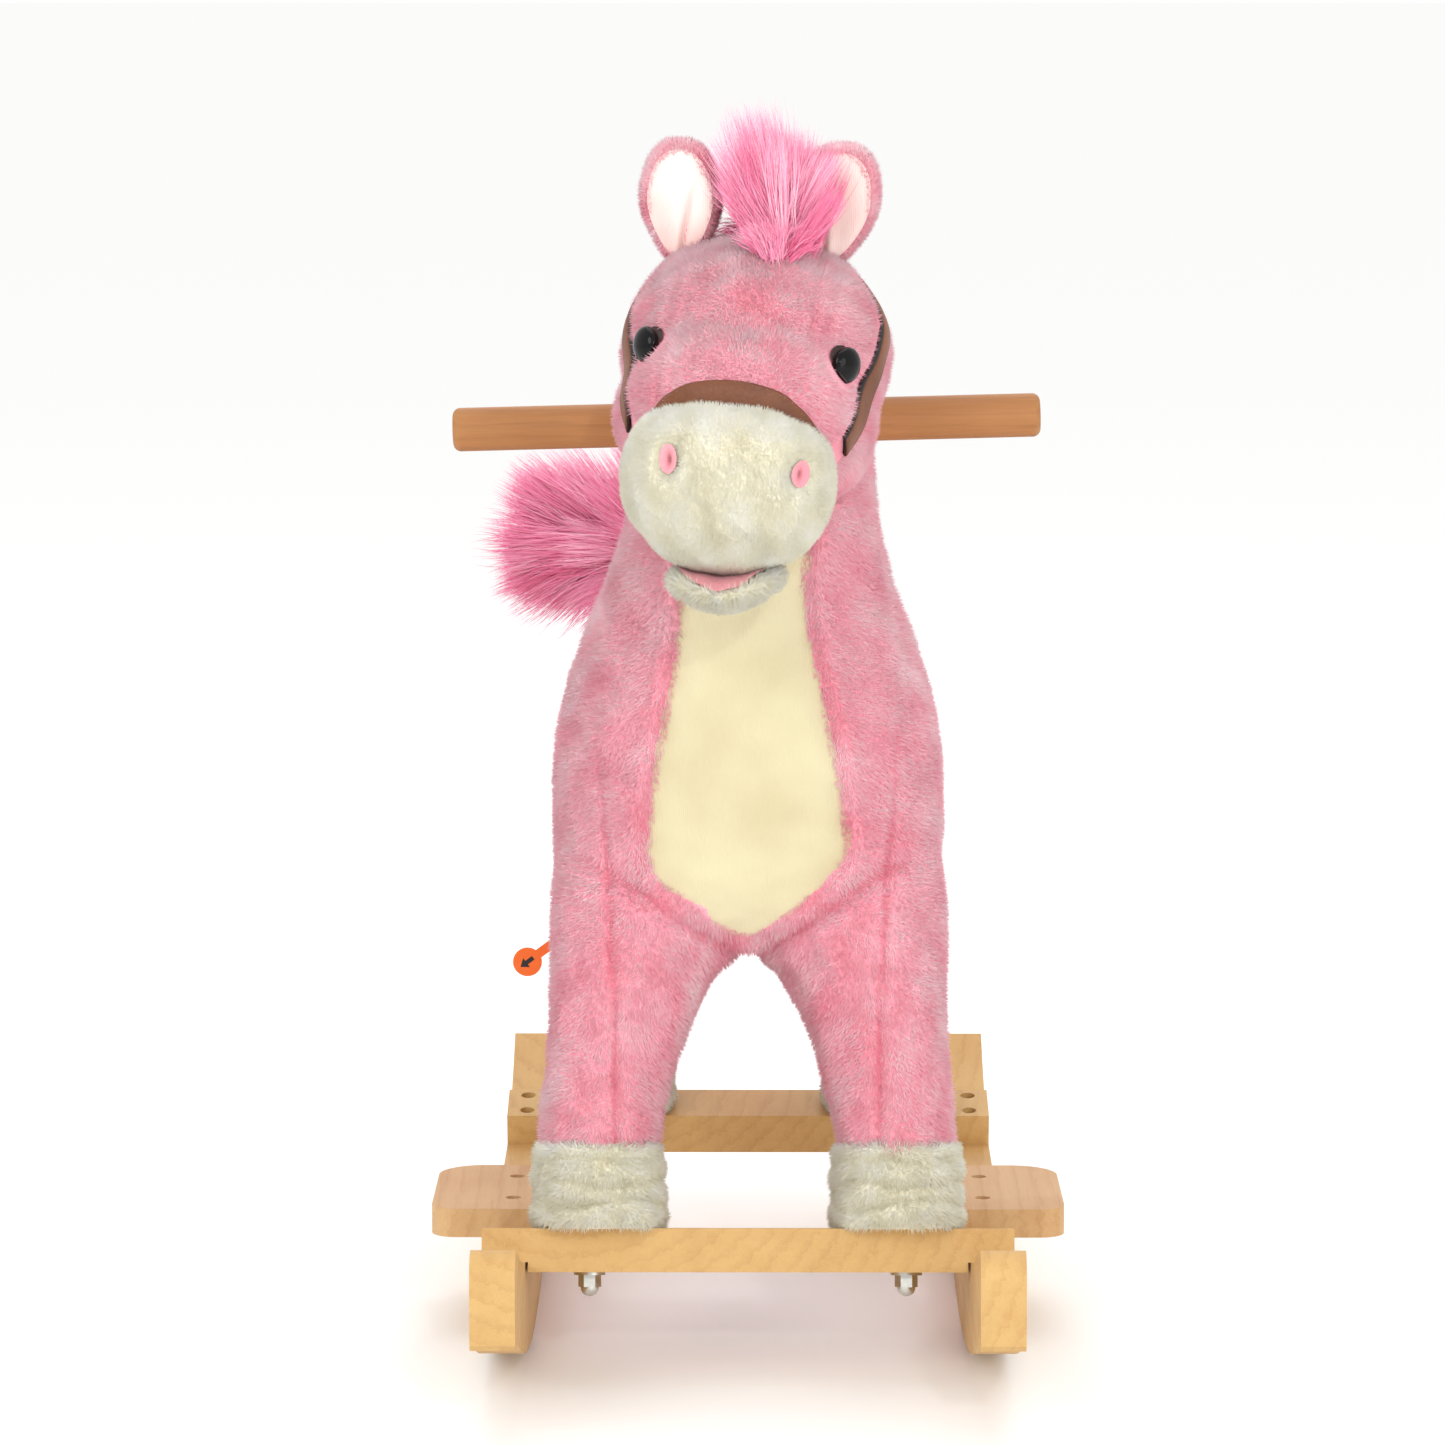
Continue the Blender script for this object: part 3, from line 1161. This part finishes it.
def make_mane(look):
    """Hair along the back of the neck, standing up and falling to both sides."""
    rng = np.random.default_rng(91)
    count, clumps = (11000), 190
    clump = rng.integers(0, clumps, count)
    along = rng.random(clumps)
    line = smooth_line([(8, -146, 574), (5, -120, 566), (3, -95, 562), (2, -76, 552), (1, -61, 522),
                        (1, -56, 486),
                        (1, -46, 446), (0, -24, 412), (0, -4, 396)], 10)
    spot = line[(along * (len(line) - 1)).astype(int)]
    side = rng.normal(size=clumps) * 0.55
    out = np.stack([side, 0.55 + 0.35 * (1 - along), 0.75 - 0.55 * along], 1)
    aim = unit(out)
    root = spot[clump] + rng.normal(size=(count, 3)) * (3.4, 2.0, 3.0)
    way = unit(aim[clump] + rng.normal(size=(count, 3)) * 0.16)
    size = (38 + 14 * rng.random(clumps))[clump] * rng.uniform(0.75, 1.1, count)
    lines = locks(root, way, size, 7, rng, 0.14, 0.42, clump, 0.5)
    width = 0.75
    piece = strands("mane_hair", lines, width, look, "horse", hair_tones(lines, clump, look, rng),
                    unit(way + (0, 0.4, 0.2)), 0.4)
    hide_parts("neck_mane")


def make_tail(look, core_look):
    """A bushy tail: long pile radiating from a core that lies to one side."""
    rng = np.random.default_rng(101)
    path = smooth_line([(-8, 213, 366), (-28, 225, 374), (-52, 233, 382), (-80, 236, 385), (-90, 236, 385)],
                       8)
    levels = [0.5, 5.5, 8.5, 9.5, 9, 6, 1]
    at = np.linspace(0, len(path) - 1, len(levels))
    verts, turns = [], 20
    for i, radius in zip(np.linspace(0, len(path) - 1, 26),
                         np.interp(np.linspace(0, len(path) - 1, 26), at, levels)):
        k = min(int(i), len(path) - 2)
        centre = path[k] + (path[k + 1] - path[k]) * (i - k)
        forward = unit(path[k + 1] - path[k])
        verts += hoop(centre, forward, (0, 0, 1.0), radius, turns)
    core = build("tail_skin", verts, grid_faces(26, turns, True), core_look, "tail")
    mark(core, np.zeros(len(core.data.vertices)))
    count, clumps = (13000), 190
    clump = rng.integers(0, clumps, count)
    share = rng.random(clumps) ** 0.8
    spot = path[(share * (len(path) - 1)).astype(int)]
    around = rng.uniform(0, 2 * math.pi, clumps)
    radial = np.stack([np.zeros(clumps), np.cos(around) * 0.5, np.sin(around)], 1)
    along = unit(path[-1] - path[0])
    aim = unit(radial * (0.95 - 0.35 * share[:, None]) + along * (0.35 + 0.75 * share[:, None] ** 1.5))
    size = 64 + 22 * rng.random(clumps) - 12 * share
    size = np.where(radial[:, 2] < -0.3, size * 0.92, size)
    root = spot[clump] + radial[clump] * 5 + rng.normal(size=(count, 3)) * 2.4
    way = unit(aim[clump] + rng.normal(size=(count, 3)) * 0.15)
    lines = locks(root, way, size[clump] * rng.uniform(0.6, 1.08, count), 7, rng, 0.15, 0.06, clump, 0.52)
    width = 0.8
    piece = strands("tail_hair_strands", lines, width, look, "tail", hair_tones(lines, clump, look, rng),
                    unit(radial[clump] + (-0.2, -0.6, 0.3)), 0.35)
    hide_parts("tail_hair")


# ---------------------------------------------------------------- straps, saddle, tab

STRAP_REACH = 260     # farther than any skin is from the middle of a strap


def strap(name, under, centre, normal, start, angles, width, thick, look, body="horse", proud=1.5,
          samples=90):
    """A flat strap lying on a skin where a plane cuts it. Angles run about the plane's normal from start."""
    centre, normal, start = (np.array(v, float) for v in (centre, normal, start))
    normal = unit(normal)
    start = unit(start - normal * (start @ normal))
    other = np.cross(normal, start)
    cross = [(-0.5, 0.0), (-0.5, 0.7), (-0.42, 1.0), (0, 1.06), (0.42, 1.0), (0.5, 0.7), (0.5, 0.0)]
    verts, rows = [], 0
    for angle in np.radians(np.linspace(angles[0], angles[1], samples)):
        way = start * math.cos(angle) + other * math.sin(angle)
        ring = []
        for across, high in cross:
            origin = centre + normal * across * width
            hit = under.ray_cast(Vector(origin + way * STRAP_REACH), Vector(-way), STRAP_REACH)[0]
            if hit is None:
                ring = None
                break
            tuck = 0.0 if high else -1.5
            ring.append(np.array(hit) + way * (proud - thick + thick * high + tuck))
        if ring:
            verts += ring
            rows += 1
    verts = np.array(verts).reshape(rows, len(cross), 3)
    smooth = verts.copy()
    for _ in range(6):
        smooth[1:-1] = 0.25 * smooth[:-2] + 0.5 * smooth[1:-1] + 0.25 * smooth[2:]
    faces = grid_faces(rows, len(cross), True)
    faces += [tuple(range(len(cross)))[::-1], tuple((rows - 1) * len(cross) + k for k in range(len(cross)))]
    piece = build(name, smooth.reshape(-1, 3), faces, look, body)
    return piece


def make_bridle(head_skin, leather, black):
    turn = HEAD.to_3x3()
    nose_centre = HEAD @ Vector((0, -40, -20))
    tilt = Matrix.Rotation(math.radians(NOSE_TILT), 3, "X")
    normal = turn @ (tilt @ Vector((0, 1, 0)))
    middle = HEAD @ Vector((0, -95, -4)) + normal * NOSE_MIDDLE
    centre = nose_centre - normal * ((nose_centre - middle) @ normal)
    nose = strap("noseband_leather", head_skin, centre, normal, turn @ (tilt @ Vector((0, 0, 1))),
                 (-112, 112), 10.2,
                 1.8, leather, proud=4.6)
    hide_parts("noseband")
    tilt = Matrix.Rotation(math.radians(CHEEK_TILT), 3, "X")
    normal = turn @ (tilt @ Vector((0, 1, 0)))
    middle = HEAD @ Vector(CHEEK_POINT)
    centre = HEAD @ Vector((0, -8, -14))
    centre = centre - normal * ((centre - middle) @ normal)
    up = turn @ (tilt @ Vector((0, 0, 1)))
    loop = strap("cheek_strap_leather", head_skin, centre, normal, up, (-136, 136), 11.0, 1.6, leather,
                 proud=3.4)
    edge = strap("cheek_strap_backing", head_skin, centre, normal, up, (-136, 136), 12.6, 1.0, black,
                 proud=2.8)
    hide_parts("cheek_straps")


def make_saddle(body_skin, suede, piping, thread):
    """A padded saddle draped over the back, piped along its edge."""
    along, around = 46, 72
    verts = []
    y0, y1, half = -16.0, 121.0, 66.0
    centre = np.array((0, 0, 305.0))

    def spot(u, v, lift):
        """u runs across from -1 to 1, v along from 0 to 1."""
        angle = math.radians(half * u * (1 - 0.10 * abs(2 * v - 1) ** 3))
        narrow = 1 - 0.16 * abs(u) ** 3
        y = (y0 + y1) / 2 + (v - 0.5) * (y1 - y0) * narrow
        way = Vector((math.sin(angle), 0, math.cos(angle)))
        hit = body_skin.ray_cast(Vector((centre[0], y, centre[2])) + way * 200, -way, 200)[0]
        return np.array(hit) + np.array(way) * lift

    for r in range(along + 1):
        v = r / along
        for c in range(around + 1):
            u = 2 * c / around - 1
            border = max(abs(u), abs(2 * v - 1))
            pad = 5.4 * (1 - border ** 8) ** 0.5
            roll = 4.5 * (math.exp(-((v - 0.10) / 0.07) ** 2) + 1.2 * math.exp(-((v - 0.88) / 0.08) ** 2))
            roll *= max(0.0, 1 - (abs(u) / 0.62) ** 4)
            quilt = -1.6 * math.exp(-((abs(u) - 0.60) / 0.018) ** 2) * (border < 0.97)
            verts.append(spot(u, v, 0.4 + pad + roll + quilt))
    width = around + 1
    top = grid_faces(along + 1, width, False)
    count = len(verts)
    under = [spot(2 * c / around - 1, r / along, -0.8) for r in range(along + 1) for c in range(width)]
    faces = list(top) + [tuple(i + count for i in f)[::-1] for f in top]
    border = ([c for c in range(width)] + [r * width + around for r in range(1, along + 1)]
              + [along * width + c for c in range(around - 1, -1, -1)] + [r * width for r in range(along - 1,
                                                                                                   0, -1)])
    for a, b in zip(border, border[1:] + border[:1]):
        faces.append((b, a, a + count, b + count))
    saddle = build("saddle_pad", np.array(verts + under), faces, suede, "horse")
    soft = saddle.modifiers.new("soft", "SMOOTH")
    soft.factor, soft.iterations = 0.5, 2
    settle(saddle)
    mark(saddle, np.zeros(len(saddle.data.vertices)))
    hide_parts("saddle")
    path = [np.array(verts[i]) for i in border][::2]
    tube("saddle_piping", np.array(path), 2.3, piping, "horse", True)
    inner = []
    for side in (1, -1):
        for r in np.linspace(0.06, 0.94, 30):
            inner.append(spot(side * 0.90, r, 4.2))
        if side == 1:
            for c in np.linspace(0.84, -0.84, 40):
                inner.append(spot(c, 0.94, 5.0))
    stitches("saddle_stitches", inner, thread, "horse")
    return saddle


def hoop(centre, way, up, radius, turns):
    """A ring of points about a way, turned so that up decides where it starts."""
    right = unit(np.cross(way, up))
    top = np.cross(right, way)
    return [centre + radius * (right * math.cos(a) + top * math.sin(a))
            for a in np.linspace(0, 2 * math.pi, turns, endpoint=False)]


def tube(name, path, radius, look, body, closed, turns=10):
    """A round tube along a path in millimetres."""
    count = len(path)
    verts = []
    before = np.roll(path, 1, 0) if closed else np.vstack([path[:1], path[:-1]])
    after = np.roll(path, -1, 0) if closed else np.vstack([path[1:], path[-1:]])
    forward = unit(after - before)
    up = np.array((0.13, 0.21, 1.0))
    for centre, way in zip(path, forward):
        verts += hoop(centre, way, up, radius, turns)
    faces = grid_faces(count, turns, True)
    if closed:
        last = (count - 1) * turns
        faces += [(last + k, last + (k + 1) % turns, (k + 1) % turns, k) for k in range(turns)]
    piece = build(name, np.array(verts), faces, look, body)
    return piece


def stitches(name, path, look, body, long=3.2, gap=1.8, radius=0.45):
    """Short raised thread runs along a path."""
    path = np.array(path)
    step = np.linalg.norm(np.diff(path, axis=0), axis=1)
    at = np.concatenate([[0], np.cumsum(step)])
    verts, faces = [], []
    for begin in np.arange(0, at[-1] - long, long + gap):
        base = len(verts)
        for share in (0, 0.2, 0.5, 0.8, 1):
            centre = np.array([np.interp(begin + share * long, at, path[:, k]) for k in range(3)])
            ahead = np.array([np.interp(begin + share * long + 0.5, at, path[:, k]) for k in range(3)])
            way = unit(ahead - centre + 1e-6)
            size = radius * (0.45 + 0.55 * math.sin(math.pi * share))
            verts += hoop(centre, way, (0.2, 0.1, 1.0), size, 6)
        faces += [tuple(i + base for i in f) for f in grid_faces(5, 6, True)]
    piece = build(name, np.array(verts), faces, look, body)


def make_girth(body_skin, leather):
    girth = strap("girth_strap", body_skin, (0, 75, 303), (0, 1, 0), (0, 0, -1), (-128, 128), 20, 2.0,
                  leather,
                  proud=2.6)
    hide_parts("girth")


def make_tab_arrow(black):
    """A plain arrow on the pull tab's disc."""
    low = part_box("pull_tab")[0]
    centre = np.array((-117, low.y / MM - 0.08, 185.0))
    flat = [(-4.6, 0), (-0.6, 3.0), (-0.6, 1.2), (3.8, 1.2), (3.8, -1.2), (-0.6, -1.2), (-0.6, -3.0)]
    c, s = math.cos(math.radians(36.5)), math.sin(math.radians(36.5))
    verts = []
    for deep in (0, 0.16):
        verts += [centre + (x * c - z * s, deep, x * s + z * c) for x, z in flat]
    count = len(flat)
    faces = [tuple(range(count)), tuple(range(2 * count - 1, count - 1, -1))]
    faces += [(k, (k + 1) % count, (k + 1) % count + count, k + count) for k in range(count)]
    arrow = build("tab_arrow", verts, faces, black, "pull_tab", False)


# ---------------------------------------------------------------- the whole scene

def finish_cad(looks):
    """Gives each carried-over CAD node its own material by the record's slot."""
    by_node = {row["node"]: row["material_slot"] for row in frame["record"]["subparts"]}
    for name, piece in NODES.items():
        made = looks.get(name) or looks[by_node[name]]
        piece.data.materials.clear()
        piece.data.materials.append(made)


def main():
    make_stage()
    pink = plush("pink_plush_cloth", *PINK_SKIN)
    cream = plush("cream_plush_cloth", *CREAM)
    hair = plush("hair_skin", *HAIR)
    velvet = velour("chest_velour_cloth", rgb(216, 207, 172), rgb(204, 193, 156))
    ear_velvet = velour("ear_velour_cloth", rgb(250, 245, 237), rgb(240, 208, 200))
    pink_pile = shades("pink_pile", five(PINK))
    cream_pile = shades("cream_pile", five(CREAM, 0.6))
    hair_pile = shades("hair_pile", five(HAIR), 0.55, 0.1)
    leather = grained("leather", rgb(132, 78, 46), rgb(92, 50, 28), 0.5, 620, 0.25, Specular_IOR_Level=0.4)
    suede = grained("suede", rgb(126, 80, 52), rgb(92, 56, 36), 0.9, 900, 0.4, Sheen_Weight=0.5)
    felt = grained("felt", rgb(245, 168, 176), rgb(236, 142, 154), 0.95, 700, 0.4, Sheen_Weight=0.2)
    eye = surface("eye_gloss", rgb(10, 8, 8), 0.05, Specular_IOR_Level=0.22)
    brown = grained("eye_backing_brown", rgb(58, 30, 20), rgb(34, 16, 12), 0.5, 500)
    black = grained("black_moulded", rgb(26, 25, 26), rgb(14, 14, 15), 0.45, 800, 0.15)
    white = grained("white_moulded", rgb(226, 224, 218), rgb(206, 204, 198), 0.4, 700, 0.12)
    orange = grained("tab_orange_sheet", rgb(246, 112, 24), rgb(238, 98, 14), 0.4, 400, 0.05)
    green = grained("board_green_coat", rgb(38, 104, 62), rgb(24, 76, 44), 0.35, 500, 0.08)
    cell = grained("cell_wrap", rgb(60, 62, 66), rgb(40, 42, 46), 0.35, 300, 0.05)
    piping = plush("piping_cloth", *CREAM)
    zinc = metal("zinc_plate", rgb(196, 196, 190), 0.3)
    looks = {
        "wood_rocker": wood("pine_rocker", rgb(206, 168, 108), rgb(170, 122, 66), "y", (0.09, 0.16)),
        "wood_footrest": wood("pine_footrest", rgb(208, 172, 124), rgb(172, 120, 68), "y", (0.10, 0.05)),
        "wood_frame": wood("pine_crosspiece", rgb(205, 168, 108), rgb(176, 130, 72), "x", (0.10, 0.12)),
        "wood_handle": wood("beech_handle", rgb(178, 124, 74), rgb(140, 88, 46), "x", (0.02, 0.05), 320.0),
        "zinc_steel": zinc, "pink_plush": pink, "cream_plush": cream, "chest_velour": velvet,
        "pink_hair": hair,
        "mouth_felt": felt, "brown_leather": leather, "saddle_suede": suede, "eye_black": eye,
        "white_plastic": white, "black_plastic": black, "tab_orange": orange, "cell_jacket": cell,
        "board_green": green,
    }
    moulded = grained("pink_moulded", rgb(232, 150, 174), rgb(216, 128, 154), 0.45, 700, 0.12)
    looks.update({name: moulded for name in ("tail_fork", "tail_core", "jaw_lever_arm", "jaw_bracket")})
    finish_cad(looks)
    body = make_body(pink, pink_pile)
    body_skin = skin(body)
    make_panel(body_skin, velvet)
    make_hooves(cream, cream_pile)
    head = make_head(pink, pink_pile)
    head_skin = skin(head)
    muzzle = make_muzzle(cream, cream_pile)
    make_nostrils(skin(muzzle), felt)
    make_eyes(head_skin, brown)
    make_ears(pink, ear_velvet, pink_pile)
    make_jaw(cream, felt, cream_pile)
    make_forelock(hair_pile)
    make_mane(hair_pile)
    make_tail(hair_pile, hair)
    make_bridle(head_skin, leather, black)
    make_saddle(body_skin, suede, piping, cream)
    make_girth(body_skin, leather)
    make_tab_arrow(black)


main()
